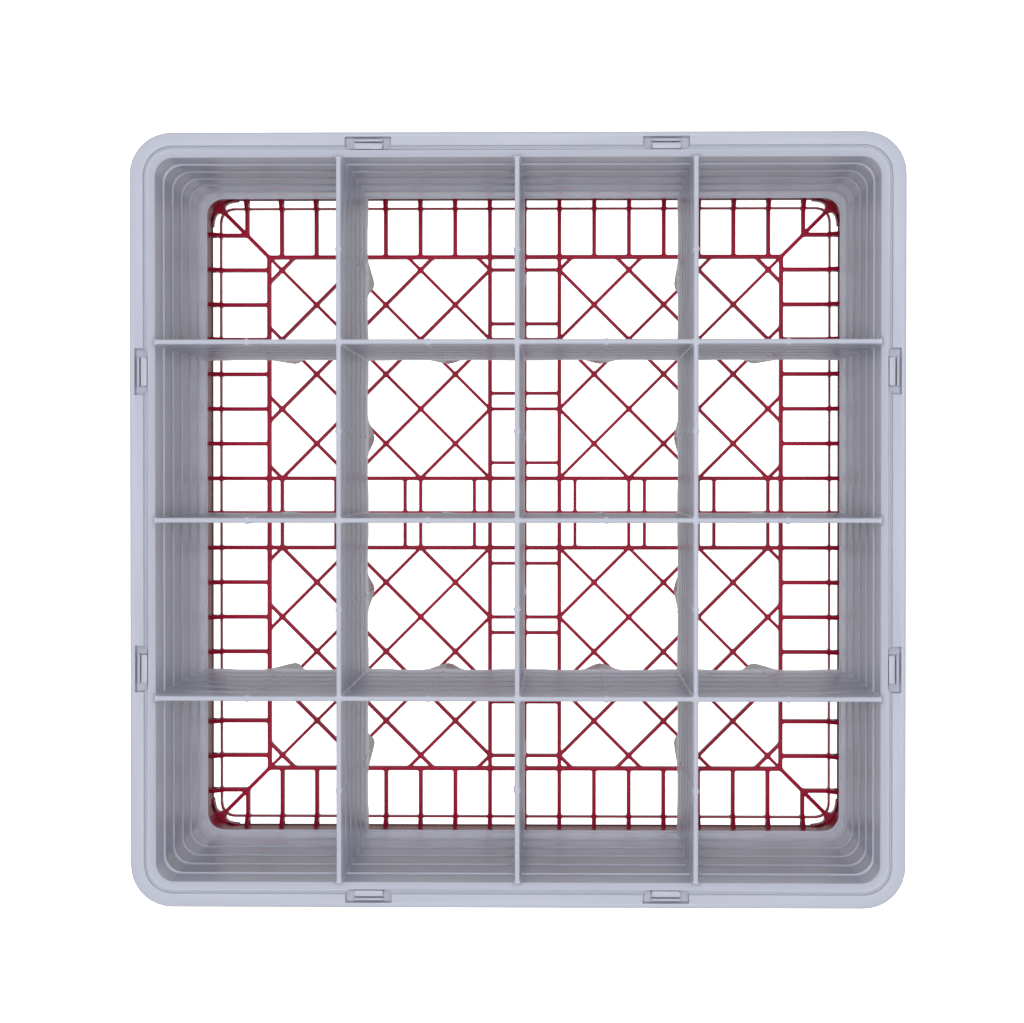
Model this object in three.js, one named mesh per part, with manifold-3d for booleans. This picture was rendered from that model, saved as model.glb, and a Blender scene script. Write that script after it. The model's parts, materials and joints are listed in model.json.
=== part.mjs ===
// Compartment bottle rack: an open-floored base that carries a stack of clip-on extender frames.
// Millimetres, +Z up. The origin is the centre of the underside.
import * as THREE from "three";
import { mergeVertices } from "three/addons/utils/BufferGeometryUtils.js";
import Module from "manifold-3d";

const wasm = await Module();
wasm.setup();

// Whole rack
const RACK_WIDTH = 500; // outer width and depth
const OUTER_CORNER_RADIUS = 27;
const BASE_HEIGHT = 101.6; // floor to the seat of the first extender
const EXTENDER_PITCH = 41.3; // height that each extender adds
const EXTENDER_COUNT = 6;
const COMPARTMENTS = 4; // along each side
const FIT_GAP = 0.3; // clear gap between faces that touch
const CORNER_STEPS = 3; // facets in a quarter turn of the walls

// Wall section: depths are measured inward from the outer face, drops downward from the rim
const RIM_WIDTH = 8.7;
const GROOVE_WIDTH = 1.6;
const GROOVE_DEPTH = 10;
const INNER_TOP_WIDTH = 5.5; // top of the inner wall, from the groove to the inner face
const INNER_TOP_DROP = 1.6;
const OUTER_SKIN = 3;
const INNER_SKIN = 2.6;
const WEB_THICKNESS = 2.2; // floor of the groove
const EDGE_CHAMFER = 0.8;
const LIP_HEIGHT = 2.6; // inward bead round the foot of an extender's inner wall
const LIP_PROUD = 0.8;
const INNER_CORNER_RADIUS = 12;

// Base walls
const SKIRT_HEIGHT = 42; // outer skirt, from the rim down
const BASE_WALL_INSET = 5; // outer face of the wall under the skirt
const BASE_WALL_THICKNESS = 3;
const HANDHOLD_LENGTH = 112;
const HANDHOLD_HEIGHT = 22;
const HANDHOLD_DROP = 17; // rim to the top of the hand-hold

// Snap sockets in every rim and the hooks that enter them
const SOCKET_OFFSET = 96; // from the middle of each side
const SOCKET_LENGTH = 30;
const SOCKET_DEPTH = 10;
const SOCKET_OUTER_LIP = 3;
const CATCH_LENGTH = 18;
const CATCH_DROP = 3.5; // rim to the top of the catch
const HOOK_LENGTH = 16;
const HOOK_THICKNESS = 2;
const HOOK_ROOT = 9; // height of the part that joins the skin
const HOOK_CLEARANCE = 0.6; // to the socket's outer lip and to the catch
const HOOK_END_GAP = 2; // tip of the hook to the floor of the socket

// Dividers
const DIVIDER_PITCH = 115.3;
const DIVIDER_THICKNESS = 3.2;
const POST_ARM = 14; // full-height length each side of a crossing
const ARCH_RISE = 8; // lower edge between the posts
const ARCH_RUN = 10; // length of the slope from post to arch

// Lobes that hang from the lowest extender's dividers into the base
const LOBE_WIDTH = 30;
const LOBE_TIP_WIDTH = 7;
const LOBE_FLOOR_GAP = 27; // tip of the lobe to the floor lattice

// Floor lattice
const FLOOR_MODULES = 18; // from wall to wall
const RIB_THICKNESS = 3;
const RIB_HEIGHT = 8;
const BRACE_THICKNESS = 2.2; // diagonals and rungs
const BORDER_MODULES = 7.37; // inner square border, in modules from the centre
const BAND_MODULES = 1; // half-width of the centre band
const RUNG_MODULES = [1, 1.45, 3, 3.45, 5, 5.45, 7]; // rungs across the centre band
const BRACE_MODULES = 2; // spacing of the diagonals along a wall
const GUSSET_SIZE = 16; // corner web between the two walls

// Colours and finish
const BASE_FINISH = { color: 0xa81238, roughness: 0.42, metalness: 0 };
const EXTENDER_FINISH = { color: 0xb6b8c6, roughness: 0.45, metalness: 0 };

// Values worked out from the sizes above
const HALF_WIDTH = RACK_WIDTH / 2;
const BODY_HEIGHT = EXTENDER_PITCH - FIT_GAP; // one extender
const BASE_TOP = BASE_HEIGHT - FIT_GAP;
const GROOVE_END = RIM_WIDTH + GROOVE_WIDTH;
const INNER_FACE = GROOVE_END + INNER_TOP_WIDTH;
const BASE_WALL_FACE = BASE_WALL_INSET + BASE_WALL_THICKNESS;
const BASE_INNER_HALF = HALF_WIDTH - BASE_WALL_FACE;
const FLOOR_MODULE = (2 * BASE_INNER_HALF) / FLOOR_MODULES;
const DIVIDER_REACH = HALF_WIDTH - INNER_FACE - LIP_PROUD - FIT_GAP;
const DIVIDER_TOP = BODY_HEIGHT - INNER_TOP_DROP - EDGE_CHAMFER;
const HOOK_OUTER = SOCKET_OUTER_LIP + HOOK_CLEARANCE; // depth of the hook's outer face
const HOOK_INNER = HOOK_OUTER + HOOK_THICKNESS;
const LOBE_DROP = BASE_HEIGHT - RIB_HEIGHT - LOBE_FLOOR_GAP; // below the foot of extender 1
const FLOOR_BORDER = BORDER_MODULES * FLOOR_MODULE;
const FLOOR_BAND = BAND_MODULES * FLOOR_MODULE;

// A three.js geometry as a solid for joining and cutting
function solidOf(geometry) {
  const bare = geometry.clone();
  bare.deleteAttribute("normal");
  bare.deleteAttribute("uv");
  const merged = mergeVertices(bare, 1e-4);
  const mesh = new wasm.Mesh({
    numProp: 3,
    vertProperties: new Float32Array(merged.attributes.position.array),
    triVerts: new Uint32Array(merged.index.array),
  });
  return new wasm.Manifold(mesh);
}

function geometryOf(solid) {
  const mesh = solid.getMesh();
  const geometry = new THREE.BufferGeometry();
  geometry.setAttribute("position", new THREE.BufferAttribute(mesh.vertProperties, 3));
  geometry.setIndex(new THREE.BufferAttribute(mesh.triVerts, 1));
  geometry.computeVertexNormals();
  return geometry;
}

function join(solids) {
  return solids.reduce((sum, solid) => sum.add(solid));
}

// A box from its lowest to its highest corner
function block(low, high) {
  const geometry = new THREE.BoxGeometry(high[0] - low[0], high[1] - low[1], high[2] - low[2]);
  geometry.translate((low[0] + high[0]) / 2, (low[1] + high[1]) / 2, (low[2] + high[2]) / 2);
  return solidOf(geometry);
}

// A straight bar in plan from one point to another
function bar(from, to, thickness, low, high) {
  const run = new THREE.Vector2(to[0] - from[0], to[1] - from[1]);
  const geometry = new THREE.BoxGeometry(run.length(), thickness, high - low);
  geometry.rotateZ(run.angle());
  geometry.translate((from[0] + to[0]) / 2, (from[1] + to[1]) / 2, (low + high) / 2);
  return solidOf(geometry);
}

// The same solid turned to each side of the square
function onEverySide(solid) {
  return join([0, 90, 180, 270].map((angle) => solid.rotate([0, 0, angle])));
}

// Corner radius of the rounded square at a depth from the outer face
function cornerRadius(depth) {
  const blend = Math.min(depth / INNER_FACE, 1);
  return OUTER_CORNER_RADIUS + (INNER_CORNER_RADIUS - OUTER_CORNER_RADIUS) * blend;
}

// Points of one quarter-turn corner after another, at a depth from the outer face
function squareStations(depth) {
  const radius = cornerRadius(depth);
  const centre = HALF_WIDTH - depth - radius;
  const stations = [];
  for (let quarter = 0; quarter < 4; quarter += 1) {
    const middle = Math.PI / 4 + (quarter * Math.PI) / 2;
    const cornerX = Math.sign(Math.cos(middle)) * centre;
    const cornerY = Math.sign(Math.sin(middle)) * centre;
    for (let step = 0; step <= CORNER_STEPS; step += 1) {
      const angle = ((quarter + step / CORNER_STEPS) * Math.PI) / 2;
      stations.push([cornerX + radius * Math.cos(angle), cornerY + radius * Math.sin(angle)]);
    }
  }
  return stations;
}

// A closed wall section of [depth, z] points swept round the square.
// The points run clockwise when the outside of the wall is on the left.
function sweptWall(section) {
  const rings = section.map(([depth]) => squareStations(depth));
  const stationCount = rings[0].length;
  const positions = [];
  for (let station = 0; station < stationCount; station += 1) {
    section.forEach(([, z], point) => positions.push(...rings[point][station], z));
  }
  const size = section.length;
  const index = [];
  for (let station = 0; station < stationCount; station += 1) {
    const next = (station + 1) % stationCount;
    for (let point = 0; point < size; point += 1) {
      const along = (point + 1) % size;
      const a = station * size + point;
      const b = next * size + point;
      const c = next * size + along;
      const d = station * size + along;
      index.push(a, b, c, a, c, d);
    }
  }
  const geometry = new THREE.BufferGeometry();
  geometry.setAttribute("position", new THREE.Float32BufferAttribute(positions, 3));
  geometry.setIndex(index);
  return solidOf(geometry);
}

// Rim, groove and inner wall top, shared by the base and the extenders, from the outer face inward
function rimSection(top) {
  return [
    [0, top - EDGE_CHAMFER],
    [EDGE_CHAMFER, top],
    [RIM_WIDTH, top],
    [RIM_WIDTH, top - GROOVE_DEPTH],
    [GROOVE_END, top - GROOVE_DEPTH],
    [GROOVE_END, top - INNER_TOP_DROP],
    [INNER_FACE - EDGE_CHAMFER, top - INNER_TOP_DROP],
    [INNER_FACE, top - INNER_TOP_DROP - EDGE_CHAMFER],
  ];
}

// Eight sockets in a rim, each with a catch block standing in its middle
function socketCuts(top) {
  const depthOf = (depth) => HALF_WIDTH - depth;
  const cuts = [-SOCKET_OFFSET, SOCKET_OFFSET].map((middle) => {
    const pocket = block(
      [middle - SOCKET_LENGTH / 2, depthOf(RIM_WIDTH + GROOVE_WIDTH / 2), top - SOCKET_DEPTH],
      [middle + SOCKET_LENGTH / 2, depthOf(SOCKET_OUTER_LIP), top + 1],
    );
    const catchBlock = block(
      [middle - CATCH_LENGTH / 2, depthOf(RIM_WIDTH), top - SOCKET_DEPTH],
      [middle + CATCH_LENGTH / 2, depthOf(HOOK_INNER + HOOK_CLEARANCE), top - CATCH_DROP],
    );
    return pocket.subtract(catchBlock);
  });
  return onEverySide(join(cuts));
}

// Eight hooks under an extender, joined to its outer skin
function hooks() {
  const outer = HALF_WIDTH - HOOK_OUTER;
  const inner = HALF_WIDTH - HOOK_INNER;
  const rootOuter = HALF_WIDTH - OUTER_SKIN / 2;
  const tip = HOOK_END_GAP - SOCKET_DEPTH;
  const pieces = [-SOCKET_OFFSET, SOCKET_OFFSET].flatMap((middle) => [
    block([middle - HOOK_LENGTH / 2, inner, tip], [middle + HOOK_LENGTH / 2, outer, HOOK_ROOT]),
    block([middle - HOOK_LENGTH / 2, inner, FIT_GAP], [middle + HOOK_LENGTH / 2, rootOuter, HOOK_ROOT]),
  ]);
  return onEverySide(join(pieces));
}

// Side frame of an extender, with its foot at z = 0
function extenderFrame() {
  const underWeb = BODY_HEIGHT - GROOVE_DEPTH - WEB_THICKNESS;
  const section = [
    [0, 0],
    ...rimSection(BODY_HEIGHT),
    [INNER_FACE, LIP_HEIGHT],
    [INNER_FACE + LIP_PROUD, LIP_HEIGHT - LIP_PROUD],
    [INNER_FACE + LIP_PROUD, 0],
    [INNER_FACE - INNER_SKIN, 0],
    [INNER_FACE - INNER_SKIN, underWeb],
    [OUTER_SKIN, underWeb],
    [OUTER_SKIN, 0],
  ];
  return sweptWall(section).subtract(socketCuts(BODY_HEIGHT)).add(hooks());
}

// Lines along which the dividers run, counted from the middle of the rack
function dividerLines() {
  const lines = [];
  for (let line = 1; line < COMPARTMENTS; line += 1) {
    lines.push((line - COMPARTMENTS / 2) * DIVIDER_PITCH);
  }
  return lines;
}

// Side view of one divider: posts at the crossings and ends, arches between, and lobes on request
function dividerOutline(withLobes) {
  const supports = [-DIVIDER_REACH, ...dividerLines(), DIVIDER_REACH];
  const shape = new THREE.Shape();
  shape.moveTo(-DIVIDER_REACH, DIVIDER_TOP);
  shape.lineTo(-DIVIDER_REACH, 0);
  for (let span = 0; span + 1 < supports.length; span += 1) {
    const from = supports[span] + POST_ARM;
    const to = supports[span + 1] - POST_ARM;
    const middle = (supports[span] + supports[span + 1]) / 2;
    shape.lineTo(from, 0);
    shape.lineTo(from + ARCH_RUN, ARCH_RISE);
    if (withLobes) {
      shape.lineTo(middle - LOBE_WIDTH / 2, ARCH_RISE);
      shape.lineTo(middle - LOBE_TIP_WIDTH / 2, -LOBE_DROP);
      shape.lineTo(middle + LOBE_TIP_WIDTH / 2, -LOBE_DROP);
      shape.lineTo(middle + LOBE_WIDTH / 2, ARCH_RISE);
    }
    shape.lineTo(to - ARCH_RUN, ARCH_RISE);
    shape.lineTo(to, 0);
  }
  shape.lineTo(DIVIDER_REACH, 0);
  shape.lineTo(DIVIDER_REACH, DIVIDER_TOP);
  return shape;
}

// One divider along X, with its foot at z = 0. A slot at every crossing, between two heights,
// takes the dividers that run the other way.
function slottedDivider(withLobes, slotLow, slotHigh) {
  const extrusion = { depth: DIVIDER_THICKNESS, bevelEnabled: false };
  const plate = new THREE.ExtrudeGeometry(dividerOutline(withLobes), extrusion);
  plate.rotateX(Math.PI / 2);
  plate.translate(0, DIVIDER_THICKNESS / 2, 0);
  const reach = DIVIDER_THICKNESS / 2 + FIT_GAP;
  const slots = dividerLines().map((line) =>
    block([line - reach, -DIVIDER_THICKNESS, slotLow], [line + reach, DIVIDER_THICKNESS, slotHigh]),
  );
  return solidOf(plate).subtract(join(slots));
}

// A divider that runs from left to right, open upward at every crossing
function dividerAcross(withLobes) {
  return slottedDivider(withLobes, (DIVIDER_TOP - FIT_GAP) / 2, DIVIDER_TOP + 1);
}

// A divider that runs from front to back, open downward at every crossing
function dividerAlong(withLobes) {
  return slottedDivider(withLobes, -1, (DIVIDER_TOP + FIT_GAP) / 2).rotate([0, 0, 90]);
}

// Closed side walls of the base, with a stacking skirt, hand-holds and the same rim as the extenders
function baseWalls() {
  const underWeb = BASE_TOP - GROOVE_DEPTH - WEB_THICKNESS;
  const skirtFoot = BASE_TOP - SKIRT_HEIGHT;
  const section = [
    [BASE_WALL_INSET, 0],
    [BASE_WALL_INSET, underWeb],
    [OUTER_SKIN, underWeb],
    [OUTER_SKIN, skirtFoot],
    [0, skirtFoot],
    ...rimSection(BASE_TOP),
    [INNER_FACE, underWeb],
    [BASE_WALL_FACE, underWeb - (INNER_FACE - BASE_WALL_FACE)],
    [BASE_WALL_FACE, 0],
  ];
  const handholdTop = BASE_TOP - HANDHOLD_DROP;
  const handhold = block(
    [-HANDHOLD_LENGTH / 2, HALF_WIDTH - INNER_FACE - 1, handholdTop - HANDHOLD_HEIGHT],
    [HANDHOLD_LENGTH / 2, HALF_WIDTH + 1, handholdTop],
  );
  return sweptWall(section).subtract(socketCuts(BASE_TOP)).subtract(onEverySide(handhold));
}

// A floor bar in plan, full rib height
function floorBar(from, to, thickness) {
  return bar(from, to, thickness, 0, RIB_HEIGHT);
}

// Ribs that run from every wall to the inner square border, or to the corner struts
function wallRibs() {
  const ribs = [];
  const last = FLOOR_MODULES / 2 - 1;
  for (let line = -last; line <= last; line += 1) {
    const across = line * FLOOR_MODULE;
    const inner = Math.max(Math.abs(across), FLOOR_BORDER);
    ribs.push(floorBar([across, inner], [across, BASE_INNER_HALF], RIB_THICKNESS));
  }
  return onEverySide(join(ribs));
}

// Three lines through the middle with rungs across them
function centreBand() {
  const lines = [-FLOOR_BAND, 0, FLOOR_BAND].map((across) =>
    floorBar([across, -FLOOR_BORDER], [across, FLOOR_BORDER], RIB_THICKNESS),
  );
  const rungs = RUNG_MODULES.flatMap((module) => [module, -module]).map((module) => {
    const along = module * FLOOR_MODULE;
    return floorBar([-FLOOR_BAND, along], [FLOOR_BAND, along], BRACE_THICKNESS);
  });
  const band = join([...lines, ...rungs]);
  return band.add(band.rotate([0, 0, 90]));
}

// Diagonals in both directions over one quarter of the floor
function quarterBraces() {
  const braces = [];
  const reach = 2 * FLOOR_BORDER;
  for (let line = -FLOOR_MODULES; line <= FLOOR_MODULES; line += BRACE_MODULES) {
    const start = line * FLOOR_MODULE;
    braces.push(floorBar([start, 0], [start + reach, reach], BRACE_THICKNESS));
    braces.push(floorBar([start, 0], [start - reach, reach], BRACE_THICKNESS));
  }
  const quarter = block([FLOOR_BAND, FLOOR_BAND, 0], [FLOOR_BORDER, FLOOR_BORDER, RIB_HEIGHT]);
  return join(braces).intersect(quarter);
}

// Square border, corner struts and corner gussets
function floorBorder() {
  const wall = BASE_INNER_HALF;
  const side = floorBar([-FLOOR_BORDER, FLOOR_BORDER], [FLOOR_BORDER, FLOOR_BORDER], RIB_THICKNESS);
  const strut = floorBar([FLOOR_BORDER, FLOOR_BORDER], [wall, wall], RIB_THICKNESS);
  const gusset = block([wall - GUSSET_SIZE, wall - GUSSET_SIZE, 0], [wall, wall, RIB_HEIGHT]);
  return onEverySide(join([side, strut, gusset]));
}

// Open lattice floor, trimmed to the inside of the base walls
function floorLattice() {
  const outline = squareStations(BASE_WALL_FACE + FIT_GAP).map(([x, y]) => new THREE.Vector2(x, y));
  const extrusion = { depth: RIB_HEIGHT, bevelEnabled: false };
  const trim = new THREE.ExtrudeGeometry(new THREE.Shape(outline), extrusion);
  const bars = join([wallRibs(), centreBand(), onEverySide(quarterBraces()), floorBorder()]);
  return bars.intersect(solidOf(trim));
}

function namedMesh(name, solid, finish) {
  const mesh = new THREE.Mesh(geometryOf(solid), new THREE.MeshStandardMaterial(finish));
  mesh.name = name;
  return mesh;
}

const rack = new THREE.Group();
rack.add(namedMesh("base_walls", baseWalls(), BASE_FINISH));
rack.add(namedMesh("base_floor_grid", floorLattice(), BASE_FINISH));
for (let level = 1; level <= EXTENDER_COUNT; level += 1) {
  const extender = new THREE.Group();
  extender.position.z = BASE_HEIGHT + (level - 1) * EXTENDER_PITCH;
  extender.add(namedMesh(`extender_${level}_frame`, extenderFrame(), EXTENDER_FINISH));
  const lobed = level === 1;
  dividerLines().forEach((line, index) => {
    const across = namedMesh(
      `extender_${level}_divider_x${index + 1}`, dividerAcross(lobed), EXTENDER_FINISH,
    );
    across.position.y = line;
    const along = namedMesh(
      `extender_${level}_divider_y${index + 1}`, dividerAlong(lobed), EXTENDER_FINISH,
    );
    along.position.x = line;
    extender.add(across, along);
  });
  rack.add(extender);
}

export default rack;
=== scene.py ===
import json
import math

import bmesh
import bpy
from bpy.props import FloatProperty, FloatVectorProperty, PointerProperty
from mathutils import Matrix, Vector

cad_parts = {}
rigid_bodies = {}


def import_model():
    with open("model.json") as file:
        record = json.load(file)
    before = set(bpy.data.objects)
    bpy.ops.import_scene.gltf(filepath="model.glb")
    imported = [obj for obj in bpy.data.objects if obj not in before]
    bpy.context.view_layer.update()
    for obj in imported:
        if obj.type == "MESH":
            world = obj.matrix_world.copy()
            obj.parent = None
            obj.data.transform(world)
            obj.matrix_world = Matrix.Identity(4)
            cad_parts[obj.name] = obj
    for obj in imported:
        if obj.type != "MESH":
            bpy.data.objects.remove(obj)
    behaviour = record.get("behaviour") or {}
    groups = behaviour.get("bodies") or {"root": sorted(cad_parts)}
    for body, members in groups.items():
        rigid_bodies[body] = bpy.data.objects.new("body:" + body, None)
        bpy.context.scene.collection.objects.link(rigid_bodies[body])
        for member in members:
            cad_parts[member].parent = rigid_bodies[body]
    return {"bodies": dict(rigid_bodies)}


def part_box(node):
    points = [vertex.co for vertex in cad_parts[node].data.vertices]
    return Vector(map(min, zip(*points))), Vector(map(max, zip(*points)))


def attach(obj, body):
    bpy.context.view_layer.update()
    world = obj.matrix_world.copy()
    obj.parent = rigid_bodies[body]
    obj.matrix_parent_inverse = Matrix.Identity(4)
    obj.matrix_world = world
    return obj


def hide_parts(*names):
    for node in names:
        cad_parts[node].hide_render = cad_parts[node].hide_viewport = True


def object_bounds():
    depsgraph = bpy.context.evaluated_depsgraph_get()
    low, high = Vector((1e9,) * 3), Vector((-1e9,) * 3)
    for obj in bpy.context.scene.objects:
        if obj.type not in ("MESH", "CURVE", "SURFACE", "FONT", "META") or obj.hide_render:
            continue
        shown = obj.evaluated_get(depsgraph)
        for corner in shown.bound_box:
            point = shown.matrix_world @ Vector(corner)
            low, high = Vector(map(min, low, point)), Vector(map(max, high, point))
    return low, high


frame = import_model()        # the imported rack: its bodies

bl_info = {
    "name": "Compartment bottle rack",
    "version": (1, 0, 0),
    "blender": (4, 5, 0),
    "location": "3D View > Sidebar > Rack",
    "description": "Builds a lattice-floored bottle rack that carries a stack of clip-on extender frames",
    "category": "Object",
}

MM = 0.001
SOFTEN_ANGLE = 50  # edges sharper than this are rounded
SKIN = 3 * MM  # outer skin under every rim
MODULES = 9  # lattice modules from the middle to a wall
CAD_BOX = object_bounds()


def foot_of(node):
    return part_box(node)[0].z


def top_of(node):
    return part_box(node)[1].z


# Heights and widths that the frame gives
LEVELS = sum(1 for body in frame["bodies"] if body.startswith("extender_"))
HALF = CAD_BOX[1].x
BASE_TOP = top_of("base_walls")
PITCH = top_of("extender_3_frame") - top_of("extender_2_frame")
GAP = foot_of("extender_3_divider_x1") - top_of("extender_2_frame")
BODY = PITCH - GAP
FLOOR_HEIGHT = top_of("base_floor_grid")
FLOOR_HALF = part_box("base_floor_grid")[1].x
LOBE_DROP = foot_of("extender_2_divider_x1") - PITCH - foot_of("extender_1_divider_x1")
HOOK_DROP = foot_of("extender_2_divider_x1") - foot_of("extender_2_frame")
SIDES = [Matrix.Rotation(math.radians(angle), 4, "Z") for angle in (0, 90, 180, 270)]


def length(name, text, default):
    """A length property, its default given in millimetres."""
    return FloatProperty(name=name, description=text, default=default * MM, unit="LENGTH", precision=5)


def colour(name, text, default):
    return FloatVectorProperty(
        name=name, description=text, default=default, subtype="COLOR", size=3, min=0, max=1
    )


class RackSizes(bpy.types.PropertyGroup):
    """Sizes of the mouldings that are set by themselves"""

    outer_corner: length("Outer corner", "Corner radius of the outer face", 27)
    inner_corner: length("Inner corner", "Corner radius of the inner wall", 12)
    rim_width: length("Rim width", "Flat top of the outer rim", 8.7)
    groove_width: length("Groove width", "Groove between the rim and the inner wall", 1.6)
    groove_depth: length("Groove depth", "Depth of the groove below the rim", 2.6)
    wall_face: length("Wall face", "Depth of the inner wall's face from the outer face", 15.8)
    divider_thickness: length("Divider thickness", "Thickness of the compartment dividers", 3.2)
    divider_pitch: length("Divider pitch", "Distance from one divider to the next", 115.3)
    socket_offset: length("Socket offset", "Middle of a side to the middle of a socket", 96)
    socket_length: length("Socket length", "Length of a snap socket along the rim", 30)
    rib_thickness: length("Rib thickness", "Main ribs of the lattice floor", 2.9)
    brace_thickness: length("Brace thickness", "Diagonals and rungs of the lattice floor", 2.3)


class RackColours(bpy.types.PropertyGroup):
    """Colours of the mouldings and the stage"""

    base: colour("Base", "Deep cranberry plastic of the base", (1.0, 0.006, 0.12))
    extender: colour("Extender", "Soft grey plastic of the extender frames", (0.365, 0.378, 0.44))
    floor: colour("Floor", "Plain floor that the rack stands on", (0.92, 0.92, 0.92))


# Shader maths


class Wire:
    """A shader socket that can be used in Python expressions."""

    def __init__(self, graph, socket):
        self.graph = graph
        self.socket = socket

    def _maths(self, operation, first, second):
        return self.graph.node("ShaderNodeMath", {"operation": operation}, {0: first, 1: second})

    def __add__(self, other):
        return self._maths("ADD", self, other)

    def __sub__(self, other):
        return self._maths("SUBTRACT", self, other)

    def __rsub__(self, other):
        return self._maths("SUBTRACT", other, self)

    def __mul__(self, other):
        return self._maths("MULTIPLY", self, other)

    __radd__ = __add__
    __rmul__ = __mul__


class Graph:
    """The node tree of one material or world."""

    def __init__(self, owner, shader="Principled BSDF"):
        owner.use_nodes = True
        self.owner = owner
        self.nodes = owner.node_tree.nodes
        self.links = owner.node_tree.links
        self.shader = self.nodes[shader]

    def node(self, kind, settings=None, inputs=None, output=0):
        """Adds a node, applies its settings, feeds its inputs and gives one output."""
        made = self.nodes.new(kind)
        for key, value in (settings or {}).items():
            setattr(made, key, value)
        for key, value in (inputs or {}).items():
            self.feed(made.inputs[key], value)
        return Wire(self, made.outputs[output])

    def feed(self, socket, value):
        if isinstance(value, Wire):
            self.links.new(value.socket, socket)
        else:
            socket.default_value = value

    def noise(self, place, scale, detail=3, rough=0.5):
        inputs = {"Vector": place, "Scale": scale, "Detail": detail, "Roughness": rough}
        return self.node("ShaderNodeTexNoise", None, inputs)

    def steps(self, value, low, high):
        """Turns a value into a mask that rises from 0 at low to 1 at high."""
        settings = {"interpolation_type": "SMOOTHSTEP"}
        return self.node("ShaderNodeMapRange", settings, {0: value, 1: low, 2: high})

    def blend(self, factor, first, second):
        """Mixes two colours."""
        inputs = {0: factor, 6: first, 7: second}
        return self.node("ShaderNodeMix", {"data_type": "RGBA"}, inputs, output=2)


def tone(base, gain, lift=0.0):
    """A colour made lighter or darker, with the alpha that sockets expect."""
    return tuple(min(1.0, channel * gain + lift) for channel in base) + (1.0,)


def moulded_plastic(name, base, rough, scuff_lift, shine):
    """Satin polypropylene with a fine mould grain, washing haze, scuffs and worn edges."""
    graph = Graph(bpy.data.materials.new(name))
    place = graph.node("ShaderNodeTexCoord", output=3)
    cloud = graph.noise(place, 9, 4, 0.6)
    grain = graph.noise(place, 1400, 2, 0.6)
    dimple = graph.noise(place, 160, 3, 0.5)
    stretched = graph.node("ShaderNodeMapping", None, {"Vector": place, "Scale": (40, 40, 900)})
    scratch = graph.steps(graph.noise(stretched, 1, 5, 0.7), 0.62, 0.74)
    patch = graph.steps(graph.noise(place, 28, 5, 0.65), 0.5, 0.72)
    wear = graph.steps(graph.node("ShaderNodeNewGeometry", output=7), 0.52, 0.62)

    body = graph.blend(cloud, tone(base, 0.93), tone(base, 1.07))
    hazed = graph.blend(patch * 0.22, body, tone(base, 1.0, scuff_lift))
    scuffed = graph.blend(scratch * patch * 0.5, hazed, tone(base, 1.0, scuff_lift * 1.6))
    worn = graph.blend(wear * 0.35, scuffed, tone(base, 1.08, scuff_lift))
    graph.feed(graph.shader.inputs["Base Color"], worn)

    roughness = cloud * 0.10 + patch * 0.10 + scratch * 0.12 + (rough - 0.06)
    graph.feed(graph.shader.inputs["Roughness"], roughness)
    drawn = graph.node("ShaderNodeMapping", None, {"Vector": place, "Scale": (70, 70, 9)})
    ripple = graph.noise(drawn, 1, 3, 0.55)
    relief = grain * 0.35 + dimple * 0.65 - scratch * 0.6 + ripple * 22
    bump = graph.node("ShaderNodeBump", None, {"Strength": 0.35, "Distance": 0.00006, "Height": relief})
    graph.feed(graph.shader.inputs["Normal"], bump)
    graph.shader.inputs["IOR"].default_value = 1.49
    graph.shader.inputs["Specular IOR Level"].default_value = shine
    return graph.owner


# Mesh helpers


def rounded_outline(corners, steps=4):
    """A closed outline from (x, y, radius) corners, each one turned into a curve."""
    points = []
    count = len(corners)
    for index, (x, y, radius) in enumerate(corners):
        here = Vector((x, y))
        before = Vector(corners[index - 1][:2]) - here
        after = Vector(corners[(index + 1) % count][:2]) - here
        reach = radius / math.tan(before.angle(after) / 2)
        reach = min(reach, before.length * 0.49, after.length * 0.49)
        start = here + before.normalized() * reach
        end = here + after.normalized() * reach
        for step in range(steps + 1):
            part = step / steps
            points.append(start.lerp(here, part).lerp(here.lerp(end, part), part))
    return points


def square_path(depth, steps=9):
    """Points round the rack at a depth inside its outer face, one quarter turn after another."""
    sizes = bpy.context.scene.rack_sizes
    part = min(depth / sizes.wall_face, 1)
    radius = sizes.outer_corner + (sizes.inner_corner - sizes.outer_corner) * part
    centre = HALF - depth - radius
    points = []
    for quarter in range(4):
        middle = math.radians(45 + 90 * quarter)
        corner = Vector((math.copysign(centre, math.cos(middle)), math.copysign(centre, math.sin(middle))))
        for step in range(steps + 1):
            angle = math.radians(90 * (quarter + step / steps))
            points.append(corner + radius * Vector((math.cos(angle), math.sin(angle))))
    return points


def bridge(mesh, ring, beside):
    """Faces between two closed rings with as many points as each other."""
    for index in range(len(ring)):
        after = (index + 1) % len(ring)
        mesh.faces.new((ring[index], ring[after], beside[after], beside[index]))


def sweep_square(section):
    """A mesh from a closed wall section of (depth, z) points swept round the square."""
    mesh = bmesh.new()
    rings = []
    for depth, z in section:
        rings.append([mesh.verts.new((x, y, z)) for x, y in square_path(depth)])
    for ring, beside in zip(rings, rings[1:] + rings[:1]):
        bridge(mesh, ring, beside)
    bmesh.ops.recalc_face_normals(mesh, faces=mesh.faces)
    return mesh


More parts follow.
